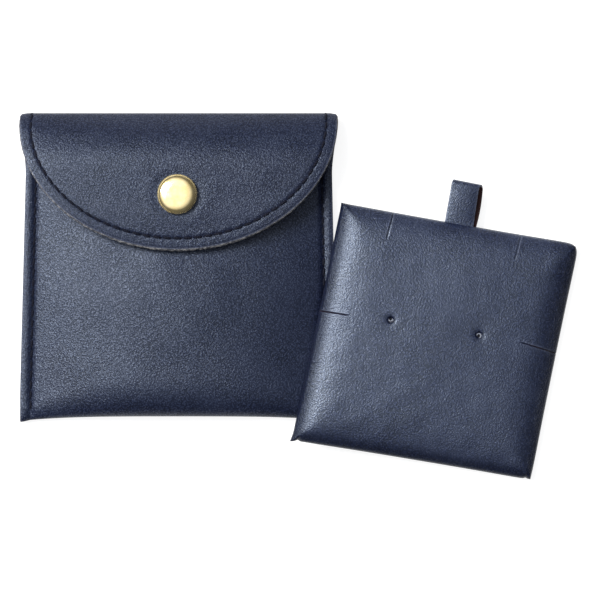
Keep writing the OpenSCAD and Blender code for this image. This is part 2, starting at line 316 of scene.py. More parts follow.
def foam_material():
    """Grey open-cell foam."""
    n = Nodes("foam_grey")
    cells = n.voronoi(n.coords(), 1.8)
    tone = n.mix(n.ramp(cells, 0.1, 0.6), srgb(60, 63, 72), srgb(122, 126, 136))
    return n.finish(Base_Color=tone, Roughness=n.ramp(cells, 0.0, 0.7, 0.8, 0.97),
                    Normal=n.bump(cells, 0.0003, 0.8))


def mottled(name, dark, pale, rough, relief, scale, detail=(3.0, 0.6), stretch=(1, 1, 1), spread=(0.2, 0.8)):
    """A material whose colour, roughness and bump all follow one noise."""
    n = Nodes(name)
    grain = n.noise(n.coords(stretch), scale, *detail)
    tone = n.mix(n.ramp(grain, 0.3, 0.7), srgb(*dark), srgb(*pale))
    return n.finish(Base_Color=tone, Roughness=n.ramp(grain, *spread, *rough), Normal=n.bump(grain, *relief))


LEATHER = leatherette("leatherette_navy", 0.96, -0.04)
CARD_LEATHER = leatherette("leatherette_navy_card", 1.14, 0.56)
EDGE = cut_edge()
SUEDE = suede("suede_navy", (19, 23, 36), (38, 44, 62), 0.35)
BACKING = suede("backing_brown", (24, 6, 8), (46, 15, 16), 0.05)
THREAD = thread_material()
BRASS = brass_material("brass_polished", 0.1, 0.88)
BRASS_INNER = brass_material("brass_plain", 0.26, 0.9, 0.93)
STEEL = steel_material()
FOAM = foam_material()
BOARD = mottled("greyboard", (112, 106, 98), (160, 153, 142), (0.8, 0.95), (0.00008, 0.7), 2.4,
                detail=(5.0, 0.7), stretch=(1, 1, 3))
EYELET = mottled("eyelet_plastic", (92, 96, 108), (138, 143, 156), (0.28, 0.42), (0.00003, 0.4), 2.2,
                 spread=(0.3, 0.7))
EDGE_DARK = mottled("strap_edge_painted", (30, 33, 44), (70, 74, 90), (0.5, 0.75), (0.00004, 0.6), 3.5)


# ---------------------------------------------------------------- meshes
def add_object(name, data):
    obj = bpy.data.objects.new(name, data)
    bpy.context.scene.collection.objects.link(obj)
    return obj


def make(name, points, faces, materials, which, coords, wear=None, seam=None):
    """A mesh object from points in mm, with its texture coordinates and wear kept on its points."""
    mesh = bpy.data.meshes.new(name)
    points = np.asarray(points, float)
    mesh.from_pydata((points / 1000).tolist(), [], [list(map(int, f)) for f in faces])
    for material in materials:
        mesh.materials.append(material)
    mesh.polygons.foreach_set("material_index", np.asarray(which, np.int32))
    mesh.polygons.foreach_set("use_smooth", np.ones(len(faces), bool))
    kept = mesh.attributes.new("grain_co", "FLOAT_VECTOR", "POINT")
    kept.data.foreach_set("vector", np.asarray(coords, np.float32).ravel())
    # seam carries painted shade: along the stitch lines, round the eyelets and on the card's sides.
    for key, values in (("wear", wear), ("seam", seam)):
        layer = mesh.attributes.new(key, "FLOAT", "POINT")
        values = np.zeros(len(points)) if values is None else values
        layer.data.foreach_set("value", np.asarray(values, np.float32).ravel())
    mesh.update()
    return add_object(name, mesh)


def normals_of(grid):
    """Unit normals of a grid of points, one for each."""
    du = np.gradient(grid, axis=0)
    dv = np.gradient(grid, axis=1)
    n = np.cross(du, dv)
    return n / np.maximum(np.linalg.norm(n, axis=2, keepdims=True), 1e-9)


def rim_of(m, n):
    """The numbers of an m by n grid's outermost points, in order round it."""
    return np.array([*range(n), *[i * n + n - 1 for i in range(1, m)],
                     *[(m - 1) * n + j for j in range(n - 2, -1, -1)], *[i * n for i in range(m - 2, 0, -1)]])


def quads_of(m, n):
    """The faces of an m by n grid of points."""
    i, j = np.meshgrid(np.arange(m - 1), np.arange(n - 1), indexing="ij")
    a = (i * n + j).ravel()
    return np.stack([a, a + n, a + n + 1, a + 1], 1)


def walls_of(chain):
    """The faces between each two neighbours in a list of rings, each an array of its points' numbers."""
    pairs = zip(chain, chain[1:])
    return np.concatenate([np.stack([a, np.roll(a, -1), np.roll(b, -1), b], 1) for a, b in pairs])


def fan_of(ring, middle):
    """The triangles that close a ring with one point."""
    return np.stack([ring, np.roll(ring, -1), np.full(len(ring), middle)], 1)


def chain_of(rim, start, count):
    """A rim's numbers, then those of count rings of as many points, which follow from start."""
    return [rim] + [start + k * len(rim) + np.arange(len(rim)) for k in range(count)]


def sheet_parts(grid, thick, coords, inward=0.0, proud=0.1):
    """A sheet of even thickness under a grid of points, with a rounded cut edge. The grid's normals point
    out of its face. inward is how deep the sheet lies, and proud is how far its edge swells out."""
    m, n, _ = grid.shape
    up = normals_of(grid)
    face = (grid - up * inward).reshape(-1, 3)
    back = (grid - up * (inward + thick)).reshape(-1, 3)
    rim = rim_of(m, n)
    proud = np.broadcast_to(proud, (m, n)).ravel()[rim][:, None] if np.ndim(proud) == 2 else proud
    along = np.roll(face[rim], -1, 0) - np.roll(face[rim], 1, 0)
    out = np.cross(up.reshape(-1, 3)[rim], along)
    out /= np.maximum(np.linalg.norm(out, axis=1, keepdims=True), 1e-9)
    low = up.reshape(-1, 3)[rim]
    rings = [face[rim] + out * proud - low * thick * 0.16,
             face[rim] + out * proud * 1.15 - low * thick * 0.84]
    points = np.concatenate([face, back, *rings])
    size = m * n
    flat = coords.reshape(-1, 3)
    edge = flat[rim]
    texture = np.concatenate([flat, flat + [0, 0, 9.0], edge + [0, 0, 0.3], edge + [0, 0, 0.9]])
    outer = quads_of(m, n)
    inner = outer[:, ::-1] + size
    walls = walls_of([*chain_of(rim, 2 * size, 2), rim + size])
    faces = np.concatenate([outer, inner, walls])
    which = np.concatenate([np.zeros(len(outer)), np.ones(len(inner)), np.full(3 * len(rim), 2)])
    return points, faces, which, texture


def sheet(name, grid, thick, coords, materials, inward=0.0, wear=None, seam=None, proud=0.1):
    """A mesh object of a sheet. The materials are for its face, its back and its edge."""
    points, faces, which, texture = sheet_parts(grid, thick, coords, inward, proud)
    layers = []
    for layer in (wear, seam):
        values = None
        if layer is not None:
            values = np.zeros(len(points))
            values[:layer.size] = layer.ravel()
            rim = rim_of(*layer.shape)
            values[2 * layer.size:2 * layer.size + len(rim)] = layer.ravel()[rim]
        layers.append(values)
    return make(name, points, faces, materials, which, texture, *layers)


def lines(*parts):
    """Joins (from, to, count) runs to one list."""
    out = []
    for lo, hi, count in parts:
        out.extend(np.linspace(lo, hi, count, endpoint=False))
    out.append(parts[-1][1])
    return np.array(out)


def mirrored(*parts):
    """Lines on both sides of 0, from runs that start at the edge and end at 0."""
    half = lines(*parts)[:-1]
    return np.concatenate([-half, [0.0], half[::-1]])


# ---------------------------------------------------------------- the pouch's folded strip
def half_width(y):
    """How far the body's side edge stands out at height y: a little waisted under the flap."""
    w = np.minimum(43.5 + 0.021 * (24 - y), 44.75)
    return w + (HALF_W + 0.2 - w) * ease((y - 26) / 14)


def dome(x):
    """The front's crown across the pouch: 1 in the middle and 0 at the seams."""
    a = np.abs(x)
    return 1 - np.clip(a / SEAM_X, 0, 1) ** 2.35


def lift(x):
    """How far the back stands off the table at its sides."""
    return EDGE_LIFT * (np.maximum(0, np.abs(x) - BACK_FLAT) / (HALF_W - BACK_FLAT)) ** 2


def front_height(x, y):
    """Height of the front's face above the back's at x, for y above the rounded bottom."""
    d = dome(x)
    soft = 1 - MOUTH_DROP * ease((y + 12) / 27)
    z = SEAM_T + CROWN * d * soft
    gap = np.abs(np.abs(x) - SEAM_X)
    z = z - 0.4 * bump(gap, 0.8)
    z = z - 0.3 * ease((np.abs(x) - HALF_W + 0.9) / 0.9)
    pull = 0.09 * np.sin(math.tau * y / PITCH) * np.exp(-gap / 1.6) * (np.abs(x) < SEAM_X + 3)
    z = z + pull * (y < 31)
    z = z + 0.22 * ripple(x, y, 26, 3) * d + 0.1 * ripple(x, y, 11, 4) * d
    return z


def bottom_line(x):
    """The bottom fold's lowest Y: it bows up in the middle."""
    a = np.abs(x) / HALF_W
    return BOTTOM_Y + WAIST * (1 - a ** 3.4) - 0.35 * ease((a - 0.93) / 0.06)


X_LINES = mirrored((HALF_W, HALF_W - 0.14, 1), (HALF_W - 0.14, SEAM_X + 1.2, 4),
                   (SEAM_X + 1.2, SEAM_X - 1.2, 10), (SEAM_X - 1.2, 34, 10), (34, 20, 18), (20, 0, 20))


def strip_grid():
    """The strip from the fold's foot on the back, round the bottom and up the front to the mouth."""
    x = X_LINES
    z0, d = lift(x), dome(x)
    h = SEAM_T + CROWN * d
    yb = bottom_line(x)
    low, high = 0.45 * h + 0.7, 1.1 * h + 0.4
    rows = []
    for t in lines((0, 1, 44)):
        y = FOLD_Y + (yb + low - FOLD_Y) * t
        rows.append((y, z0 + 0 * x))
    for a in np.radians(np.arange(9, 91, 9)):
        rows.append((yb + low * (1 - math.sin(a)), z0 + h / 2 * (1 - math.cos(a))))
    sag = 0.35 * d * ripple(x, 0 * x, 19, 8)
    for a in np.radians(np.arange(6, 90, 6)):
        y = yb + high * (1 - math.cos(a))
        top = front_height(x, y)
        rows.append((y, z0 + h / 2 + (top - h / 2) * math.sin(a) + 0.12 * sag * math.sin(2 * a)))
    y1 = yb + high
    for t in lines((0, 0.97, 96), (0.97, 1.0, 6)):
        y = y1 + (MOUTH_Y - y1) * t
        rows.append((y, z0 + front_height(x, y)))
    y = np.array([r[0] for r in rows])
    z = np.array([r[1] for r in rows])
    wide = half_width(y) / HALF_W
    grid = np.stack([np.broadcast_to(x, y.shape) * wide, y, z], 2)
    step = np.linalg.norm(np.diff(grid, axis=0), axis=2)
    run = np.concatenate([np.zeros((1, len(x))), np.cumsum(step, 0)])
    coords = np.stack([grid[:, :, 0], -run, np.zeros_like(run)], 2)
    return grid, coords


strip, strip_co = (g[:, ::-1] for g in strip_grid())
edge_gap = HALF_W - np.abs(np.broadcast_to(X_LINES, strip.shape[:2]))
strip_wear = 0.28 * bump(edge_gap, 0.35)
mouth_rows = np.zeros(strip.shape[:2])
mouth_rows[-1] = 0.3
strip_wear = np.maximum(strip_wear, mouth_rows)
# Painted shade along the side seams' stitch lines, above the bottom fold.
strip_seam_shade = bump(edge_gap - SEAM_IN, 0.34) * (strip[:, :, 1] > BOTTOM_Y + 3.4)
pouch_leather = sheet("pouch_leather", strip, SKIN, strip_co, [LEATHER, BACKING, EDGE],
                      wear=strip_wear, seam=strip_seam_shade)
pouch_lining = sheet("pouch_lining", strip, LINING, strip_co, [SUEDE] * 3, inward=LINING_IN, proud=0.03)


# ---------------------------------------------------------------- the fold and the flap
ROLL_END = math.radians(45)
ROLL_S = FOLD_R * math.cos(ROLL_END)
ROLL_Z = FOLD_R * (1 + math.sin(ROLL_END))


def flap_height(x, s):
    """Height of the flap's face at x, s below the fold's top, and how far that is from its curved edge."""
    rise = FLAP_Z + 0.05 - ROLL_Z
    z = ROLL_Z + rise * (1 - (1 - np.clip((s + ROLL_S) / 17, 0, 1)) ** 2.2)
    z = z - 0.9 * ease((s - 26) / (FLAP_B - 24))
    z = z - 1.5 * (np.abs(x) / HALF_W) ** 3 * ease((s + ROLL_S) / 9)
    down = np.maximum(s, 0)
    rho = np.sqrt((x / FLAP_A) ** 2 + (down / FLAP_B) ** 2)
    slope = np.sqrt(x ** 2 / FLAP_A ** 4 + down ** 2 / FLAP_B ** 4) / np.maximum(rho, 1e-6)
    gap = (1 - rho) / np.maximum(slope, 1e-6)
    inside = ease((s + ROLL_S) / 5)
    z = z - 0.2 * bump(gap - STITCH_IN, 0.5)
    z = z - 0.14 * ease((0.8 - gap) / 0.8) * inside
    z = z + 0.05 * np.sin(math.tau * (x + s) / PITCH) * bump(gap - STITCH_IN, 1.5) * inside
    z = z + (0.16 * ripple(x, s, 24, 11) + 0.06 * ripple(x, s, 9, 12)) * ease(gap / 6) * ease(s / 6)
    near = np.hypot(x, FOLD_Y - s - SNAP_Y)
    z = z - 0.22 * bump(near - 5.9, 1.3)
    return z, gap


U_LINES = mirrored((1, 0.9968, 1), (0.9968, 0.90, 22), (0.90, 0.0, 50))


def fold_flap_grid():
    """The fold's roll from the back over the top, then the flap down to its curved edge. gaps is 9 on the
    roll and the distance from the curved edge on the flap."""
    u = U_LINES
    x_fold = FLAP_A * u
    corner = ease((np.abs(u) - 0.955) / 0.045)
    z0 = lift(np.minimum(np.abs(x_fold), HALF_W))
    rows, tags = [], []
    for a in np.radians(np.arange(-90, 44, 7.5)):
        r = (FOLD_H - z0) / 2
        turn = (a + math.pi / 2) / (ROLL_END + math.pi / 2)
        wide = x_fold * (HALF_W / FLAP_A + (1 - HALF_W / FLAP_A) * turn)
        shrink = 1 - 0.006 * corner * math.cos(a)
        y = FOLD_Y + (FOLD_R - 0.2 * corner) * math.cos(a) + 0 * u
        z = z0 * (1 - turn) + (r + r * math.sin(a)) * (1 - turn) + turn * FOLD_R * (1 + math.sin(a))
        rows.append(np.stack([wide * shrink, y, z], 1))
        tags.append(0 * u + 9.0)
    for s in np.linspace(-ROLL_S, 0, 6, endpoint=False):
        z, _ = flap_height(x_fold, np.full(len(u), s))
        rows.append(np.stack([x_fold, FOLD_Y - s - 0.2 * corner * (-s / ROLL_S), z], 1))
        tags.append(0 * u + 9.0)
    for v in np.sort(1 - lines((0, 0.0045, 1), (0.0045, 0.14, 24), (0.14, 1.0, 56))):
        x = FLAP_A * u * np.sqrt(1 - v * v / 2)
        s = FLAP_B * v * np.sqrt(1 - u * u / 2)
        z, gap = flap_height(x, s)
        rows.append(np.stack([x, FOLD_Y - s, z], 1))
        tags.append(gap)
    grid, gaps = np.array(rows), np.array(tags)
    step = np.linalg.norm(np.diff(grid, axis=0), axis=2)
    run = np.concatenate([np.zeros((1, len(u))), np.cumsum(step, 0)])
    coords = np.stack([grid[:, :, 0], run, np.zeros_like(run)], 2)
    return grid, coords, gaps


flap, flap_co, flap_gap = fold_flap_grid()
flap_wear = 0.3 * bump(np.maximum(flap_gap, 0), 0.3) * (flap_gap < 8)
tip_share = np.clip((FOLD_Y - flap[:, :, 1]) / FLAP_B, 0, 1)
# Painted shade along the flap's stitch line and over the fold.
flap_seam_shade = bump(np.where(flap_gap > 8.9, FLAP_A - np.abs(flap[:, :, 0]), flap_gap) - STITCH_IN, 0.3)
flap_proud = (0.26 + 0.34 * tip_share ** 3) * (1 + 0.25 * ripple(flap[:, :, 0], flap[:, :, 1], 1.7, 31))
flap_leather = sheet("flap_leather", flap, SKIN, flap_co, [LEATHER, BACKING, EDGE],
                     wear=flap_wear, seam=flap_seam_shade, proud=flap_proud)
flap_lining = sheet("flap_lining_suede", flap, LINING, flap_co, [SUEDE] * 3, inward=LINING_IN, proud=0.35)


# ---------------------------------------------------------------- thread
def stitches(name, runs, radius=0.34):
    """Each run is (ends, normals): a stitch goes from each end to the next, dips into the leatherette at
    both, and stands a little proud between."""
    around, along = 10, 12
    points, faces, coords = [], [], []
    base = 0
    for ends, ups in runs:
        for k in range(len(ends) - 1):
            p, q = np.array(ends[k]), np.array(ends[k + 1])
            up = np.array(ups[k]) + np.array(ups[k + 1])
            up = up / np.linalg.norm(up)
            way = q - p
            length = np.linalg.norm(way)
            way = way / length
            side = np.cross(way, up)
            side = side / np.linalg.norm(side)
            up = np.cross(side, way)
            slant = 0.10
            for i in range(along + 1):
                t = i / along
                arch = math.sin(math.pi * t)
                thin = 0.72 + 0.28 * arch ** 0.4
                centre = p + way * length * (0.09 + 0.82 * t) + up * (-0.22 + 0.36 * arch ** 0.55)
                centre = centre + side * slant * (t - 0.5) * 2
                for a in range(around):
                    turn = math.tau * a / around
                    ply = 1 + 0.13 * math.cos(2 * (turn - 3.2 * math.tau * t / 2))
                    r = radius * thin * ply
                    points.append(centre + r * (side * math.cos(turn) + up * 0.85 * math.sin(turn)))
                    coords.append((k * PITCH + length * t, turn, base * 0.001))
            rings = base + np.arange((along + 1) * around).reshape(along + 1, around)
            faces += [*walls_of(rings), rings[0, ::-1], rings[-1]]
            base += rings.size
    return make(name, points, faces, [THREAD], np.zeros(len(faces)), coords)


def even_walk(path, pitch):
    """Points a pitch apart along a finely drawn path."""
    path = np.asarray(path, float)
    run = np.concatenate([[0], np.cumsum(np.linalg.norm(np.diff(path, axis=0), axis=1))])
    count = max(1, round(run[-1] / pitch))
    at = np.linspace(0, run[-1], count + 1)
    return np.stack([np.interp(at, run, path[:, k]) for k in range(path.shape[1])], 1)


def surface_normal(f, a, b, h=0.2):
    """The normal of the surface f(a, b) at a place."""
    du = (f(a + h, b) - f(a - h, b)) / (2 * h)
    dv = (f(a, b + h) - f(a, b - h)) / (2 * h)
    n = np.cross(du, dv)
    return n / np.linalg.norm(n)


def front_point(x, y):
    """Where the pouch's front face is at x, y."""
    return np.array([x * half_width(y) / HALF_W, y, lift(x) + front_height(np.float64(x), np.float64(y))])


def side_runs(side):
    """The stitches of one side seam, on the front and on the back."""
    x = side * SEAM_X
    low = float(bottom_line(x)) + 2.7
    ys = np.arange(low, MOUTH_Y - 0.5, PITCH)
    front = [front_point(x, y) for y in ys]
    ys = np.arange(low, FOLD_Y - 0.2, PITCH)
    back = [np.array([x * half_width(y) / HALF_W, y, float(lift(x))]) for y in ys]
    return [(front, [(0, 0, 1)] * len(front)), (back, [(0, 0, -1)] * len(back))]


thread_left = stitches("seam_thread_left", side_runs(-1))
thread_right = stitches("seam_thread_right", side_runs(1))


def flap_point(x, s):
    """Where the flap's face is at x, s below the fold's top."""
    z, _ = flap_height(np.float64(x), np.float64(s))
    return np.array([x, FOLD_Y - s, float(z)])


def flap_runs():
    """The flap's stitches, above and below, then the ones that go on over the fold at both sides."""
    a, b = FLAP_A - STITCH_IN, FLAP_B - STITCH_IN
    angles = np.linspace(-90, 90, 361)
    plan = [(a * math.sin(math.radians(t)), b * math.cos(math.radians(t))) for t in angles]
    plan = even_walk(plan, PITCH)
    top = [flap_point(x, max(s, 0.0)) for x, s in plan]
    ups = [surface_normal(flap_point, x, max(s, 0.3)) for x, s in plan]
    ups = [n if n[2] > 0 else -n for n in ups]
    under = [p - n * LAYERS for p, n in zip(top, ups)]
    runs = [(top, ups), (under, [-n for n in ups])]
    for side in (-1, 1):
        x = side * (SEAM_X + 0.15)
        outer, inner, way = [], [], []
        for t in np.radians([-90, -32, 28]):
            n = np.array([0, math.cos(t), math.sin(t)])
            z = float(lift(x)) * (0.5 - t / math.pi) + FOLD_R * (1 + math.sin(t))
            outer.append(np.array([x, FOLD_Y + FOLD_R * math.cos(t), z]))
            inner.append(outer[-1] - n * LAYERS)
            way.append(n)
        outer.append(flap_point(x, 0.0))
        way.append(np.array([0, 0.707, 0.707]))
        inner.append(outer[-1] - way[-1] * LAYERS)
        runs.append((outer, way))
        runs.append((inner, [-n for n in way]))
    return runs


thread_flap = stitches("flap_thread", flap_runs())


# ---------------------------------------------------------------- turned metal parts
def lathe(name, profile, centre, material, steps=96, axes=None):
    """A ring or dome turned about +Z from (radius, height) points. It is a ring that closes on itself, or
    a dome whose first and last points lie on the axis."""
    turn = np.arange(steps) * math.tau / steps
    coords = np.array([(r * math.cos(a), r * math.sin(a), z) for r, z in profile for a in turn])
    chain = [i * steps + np.arange(steps) for i in range(len(profile))]
    if profile[0][0] > 1e-6:
        chain.append(chain[0])
    faces = walls_of(chain)
    points = coords if axes is None else coords @ axes
    obj = make(name, points + centre, faces, [material], np.zeros(len(faces)), coords)
    weld = obj.modifiers.new("weld", "WELD")
    weld.merge_threshold = 1e-6
    return obj


def snap_cap():
    """The domed cap with its rolled edge and the post that goes down through the flap."""
    radius, base, roll = (cap_hi[0] - cap_lo[0]) / 2, FLAP_Z + 0.02, 0.26
    profile = []
    for t in lines((0, 0.8, 15), (0.8, 1, 11)):
        profile.append((t * (radius - 0.16), cap_hi[2] - base - 0.7 * t ** 2 - 0.6 * t ** 8))
    edge_z = profile[-1][1]
    for t in np.radians(np.linspace(20, 200, 12)):
        profile.append((radius - roll + roll * math.sin(t), edge_z - roll + roll * math.cos(t)))
    profile += [(radius - 0.5, -0.05), (radius - 0.9, -0.35), (1.3, -0.4), (1.2, -1.3), (0.0, -1.3)]
    return lathe("snap_cap_dome", profile, (0, SNAP_Y, base), BRASS)


snap_dome = snap_cap()


# ---------------------------------------------------------------- the card's own frame
# X runs along the card's top edge, Y up the card and Z out of its face, from the middle of its underside.
# HALF is half its side, CARD_T its thickness and CARD_RIM the height of its edge.
axis_z = np.array(mounts["earring_hole_left"]["axis"])
axis_x = np.array(joints["loop_bend"]["axis"])
axis_x = axis_x - axis_z * (axis_x @ axis_z)
axis_x /= np.linalg.norm(axis_x)
axis_y = np.cross(axis_z, axis_x)
AXES = np.stack([axis_x, axis_y, axis_z])
holes = [np.array(mounts[f"earring_hole_{s}"]["pos_m"]) * 1000 for s in ("left", "right")]
HOLE_X = np.linalg.norm(holes[1] - holes[0]) / 2
HOLE_MID = (-1.8, 3.7)
HOLE_Z = 0.05 + mounts["earring_hole_left"]["dims"]["length_mm"] / 2
ORIGIN = (holes[0] + holes[1]) / 2 - axis_x * HOLE_MID[0] - axis_y * HOLE_MID[1] - axis_z * HOLE_Z
HALF = 34.0
K_SKEW = math.tan(math.radians(1.2))
CARD_T = 6.4
CARD_RIM = 2.1


def placed(points):
    """From the card's own frame to the row's."""
    points = np.asarray(points, float)
    return points @ AXES + ORIGIN


def skewed(x, y):
    """The card's corners aren't quite square."""
    return x + K_SKEW * y, y + K_SKEW * x


# ---------------------------------------------------------------- the card's padded cover
def card_profile(u, v):
    """Plan position and height of the cover's crown, for u and v from -1 to 1."""
    au, av = np.abs(u), np.abs(v)
    across = np.sqrt(1 - np.clip(1 - HALF * (1 - au) / 12.0, 0, 1) ** 2.1)
    along = np.sqrt(1 - np.clip(1 - HALF * (1 - av) / 12.0, 0, 1) ** 2.1)
    across, along = np.maximum(across, 1e-4), np.maximum(along, 1e-4)
    mitre = np.minimum(1, (across ** -7 + along ** -7) ** (-1 / 7) * 2 ** (1 / 7))
    rise = (CARD_T - CARD_RIM) * (0.7 * mitre + 0.3 * (1 - au ** 2.1) * (1 - av ** 2.1))
    pinch = 0.2 * (1 - av ** 2) * au ** 6 - 0.55 * au
    x = HALF * u - np.sign(u) * pinch
    pinch = 0.2 * (1 - au ** 2) * av ** 6 - 0.25 * av
    y = HALF * v - np.sign(v) * pinch
    return x, y, CARD_RIM + rise * 0.97


PUFF_SHARE = 0.24


def puffed(n=45):
    """Blows the cover up a little as cloth, pinned along its lower edge. Returns the lines of an n by n
    grid, from -1 to 1, and how far each of its points moves, in mm."""
    scale = 0.01
    even = np.linspace(-1, 1, n)
    t = np.sin(even * math.pi / 2)
    t = np.sign(t) * (0.35 * np.abs(t) + 0.65 * np.abs(even))
    u, v = np.meshgrid(t, t, indexing="ij")
    x, y, crown = card_profile(u, v)
    z = CARD_RIM + (crown - CARD_RIM) * 0.9
    top = np.stack([x, y, z], 2).reshape(-1, 3)
    rim = rim_of(n, n)
    side = [top[rim] * [1, 1, 0] + [0, 0, h] for h in (1.5, 0.8, 0.2)]
    points = np.concatenate([top, *side, [[0, 0, 0.2]]])
    last = len(points) - 1
    chain = chain_of(rim, n * n, 3)
    mesh = bpy.data.meshes.new("puff")
    faces = [*quads_of(n, n).tolist(), *walls_of(chain).tolist(), *fan_of(chain[-1], last).tolist()]
    mesh.from_pydata((points * scale).tolist(), [], faces)
    mesh.update()
    obj = add_object("puff", mesh)
    group = obj.vertex_groups.new(name="held")
    group.add([int(q) for q in chain[-1]] + [last], 1.0, "REPLACE")
    group.add([int(q) for q in chain[-2]], 0.8, "REPLACE")
    cloth = obj.modifiers.new("cloth", "CLOTH")
    settings = cloth.settings
    settings.quality = 7
    settings.mass = 0.25
    settings.tension_stiffness = 40
    settings.compression_stiffness = 40
    settings.shear_stiffness = 6
    settings.bending_stiffness = 2.5
    settings.vertex_group_mass = "held"
    settings.use_pressure = True
    settings.uniform_pressure_force = 1.5
    settings.effector_weights.gravity = 0
    cloth.point_cache.frame_start = 1
    cloth.point_cache.frame_end = 24
    scene = bpy.context.scene
    for k in range(1, 21):
        scene.frame_set(k)
    shown = obj.evaluated_get(bpy.context.evaluated_depsgraph_get())
    moved = np.zeros(len(points) * 3)
    shown.data.vertices.foreach_get("co", moved)
    moved = moved.reshape(-1, 3)[: n * n] / scale
    scene.frame_set(1)
    bpy.data.objects.remove(obj)
    shift = moved - top
    shift[:, 2] += (z - crown).ravel()
    return t, PUFF_SHARE * shift.reshape(n, n, 3)


def soften(shift):
    """Each point's move, averaged a little with its neighbours'."""
    p = np.pad(shift, ((1, 1), (1, 1), (0, 0)), mode="edge")
    return (p[1:-1, 1:-1] * 4 + p[:-2, 1:-1] + p[2:, 1:-1] + p[1:-1, :-2] + p[1:-1, 2:]) / 8


def spread(t, shift, u, v):
    """The coarse grid's moves at finer places."""
    out = np.zeros((len(u), len(v), 3))
    for k in range(3):
        rows = np.stack([np.interp(u, t, shift[:, j, k]) for j in range(len(t))], 1)
        out[:, :, k] = np.stack([np.interp(v, t, rows[i]) for i in range(len(u))], 0)
    return out


HOLES_AT = [(HOLE_MID[0] + side * HOLE_X, HOLE_MID[1]) for side in (-1, 1)]
# Each knife cut: the way it runs, its place across that, the side it starts from, its length and its lean.
SLITS = [("y", -20.0, 1, 8.2, 0.09), ("y", 17.0, 1, 7.8, 0.09),
         ("x", 3.0, -1, 7.9, 0.0), ("x", 3.0, 1, 11.0, -0.12)]
# The cover's corners: how far each is drawn in along both edges.
CORNERS = ((-1, 1, 0.1), (1, 1, 0.95), (1, -1, 0.3), (-1, -1, -0.25))
# The rings down the cover's sides and in under its hem: the share of the rim's height, and how far in.
HEM = ((0.86, -0.10), (0.68, -0.12), (0.48, -0.10), (0.3, -0.04), (0.17, 0.06), (0.08, 0.22),
       (0.02, 0.5), (0.0, 1.2), (0.0, 7.0))


def at_slit(slit, x, y):
    """Places across and along a knife cut."""
    way, place, end = slit[:3]
    return (x - place, end * y) if way == "y" else (y - place, end * x)


def slit_shape(x, y):
    """How deep the knife cuts dip, and how far their lips stand up."""
    dip = np.zeros(x.shape)
    lip = np.zeros(x.shape)
    for slit in SLITS:
        across, along = at_slit(slit, x, y)
        reach = ease(slit[3] - (HALF - along))
        dip = np.maximum(dip, reach * bump(across, 0.085))
        lip = np.maximum(lip, reach * bump(across - 0.36, 0.25) + 0.5 * reach * bump(across + 0.4, 0.3))
    return dip, lip


def near_lines(places, spread_at):
    """Grid lines set closely round each place."""
    return [p + d for p in places for d in spread_at]


def cover_lines(fine):
    """The cover's grid lines from -1 to 1: the fine ones, and a base that keeps clear of them."""
    parts = (-1, -0.97, 5), (-0.97, -0.85, 9), (-0.85, 0.85, 96), (0.85, 0.97, 9), (0.97, 1.0, 5)
    keep = [b for b in lines(*parts) * HALF if all(abs(b - f) > 0.36 for f in fine)]
    return np.array(sorted(keep + list(fine))) / HALF


def cover_top():
    """The cover's face as a grid in the card's frame, how deep its cuts dip, how far their lips stand up,
    where it gets painted shade, and how far each point is from an earring hole."""
    t, shift = puffed()
    hair = (-0.9, -0.6, -0.34, -0.17, -0.07, 0.0, 0.07, 0.17, 0.34, 0.6, 0.9)
    ring = (-2.2, -1.6, -1.2, -0.9, -0.6, -0.3, 0.0, 0.3, 0.6, 0.9, 1.2, 1.6, 2.2)
    hole_rows = (-1.2, -0.75, -0.4, 0.0, 0.4, 0.75, 1.2, 1.7, 2.3)
    u = cover_lines(near_lines([-20.0, 17.0], hair) + near_lines([x for x, _ in HOLES_AT], ring))
    v = cover_lines(near_lines([3.0], hair) + near_lines([HOLE_MID[1]], hole_rows))
    uu, vv = np.meshgrid(u, v, indexing="ij")
    grid = np.stack(card_profile(uu, vv), 2) + spread(t, soften(shift), u, v)
    x, y, z = grid[:, :, 0], grid[:, :, 1], grid[:, :, 2]
    inner = ease((1 - np.abs(uu)) / 0.12) * ease((1 - np.abs(vv)) / 0.12)
    z = z + (0.12 * ripple(x, y, 21, 21) + 0.05 * ripple(x, y, 9, 22)) * inner
    # Painted shade: darker within a few mm of the rim (less along the top edge) and down the right flank, where
    # the light falls off.
    edge = HALF * np.minimum(1 - np.abs(uu), np.where(vv > 0, 1.3, 1 - np.abs(vv)))
    shade = 0.8 * (1 - ease((edge - 0.9) / 3.6))
    shade = np.maximum(shade, 0.5 * (1 - ease(HALF * (1 - uu) / 9.5)))
    for hole_x, hole_y in HOLES_AT:
        far = np.hypot(x - hole_x, y - hole_y)
        z = z - 0.5 * bump(far, 1.35) - 0.12 * bump(far, 4.0)
        z = np.where(far < 0.46, 0.75, z)
        # Painted shade in a ring round each eyelet's dimple.
        shade = np.maximum(shade, bump(far - 0.9, 0.3))
    dip, lip = slit_shape(x, y)
    z = z - 0.95 * dip + 0.05 * lip
    for slit in SLITS:
        way, _, _, length, lean = slit
        across, along = at_slit(slit, x, y)
        move = lean * (along - HALF + length / 2) * bump(across, 4.0) * ease((along - HALF + 18) / 8)
        x, y = (x + move, y) if way == "y" else (x, y + move)
    for sx, sy, amount in CORNERS:
        near = np.exp(-(HALF * (np.abs(uu - sx) + np.abs(vv - sy)) / 1.7) ** 1.5)
        x = x - sx * amount * near
        y = y - sy * amount * near
    for sx, sy, place, depth in ((-1, -1, 1.9, 0.45), (1, -1, 1.6, 0.3)):
        near = np.exp(-((HALF * np.abs(uu - sx) - place) / 0.5) ** 2 - (HALF * np.abs(vv - sy) / 1.3) ** 2)
        y = y - sy * depth * near
        z = z - 0.8 * depth * near
    from_hole = np.minimum(*[np.hypot(x - hole_x, y - hole_y) for hole_x, hole_y in HOLES_AT])
    return np.stack([*skewed(x, y), z], 2), dip, lip, shade, from_hole


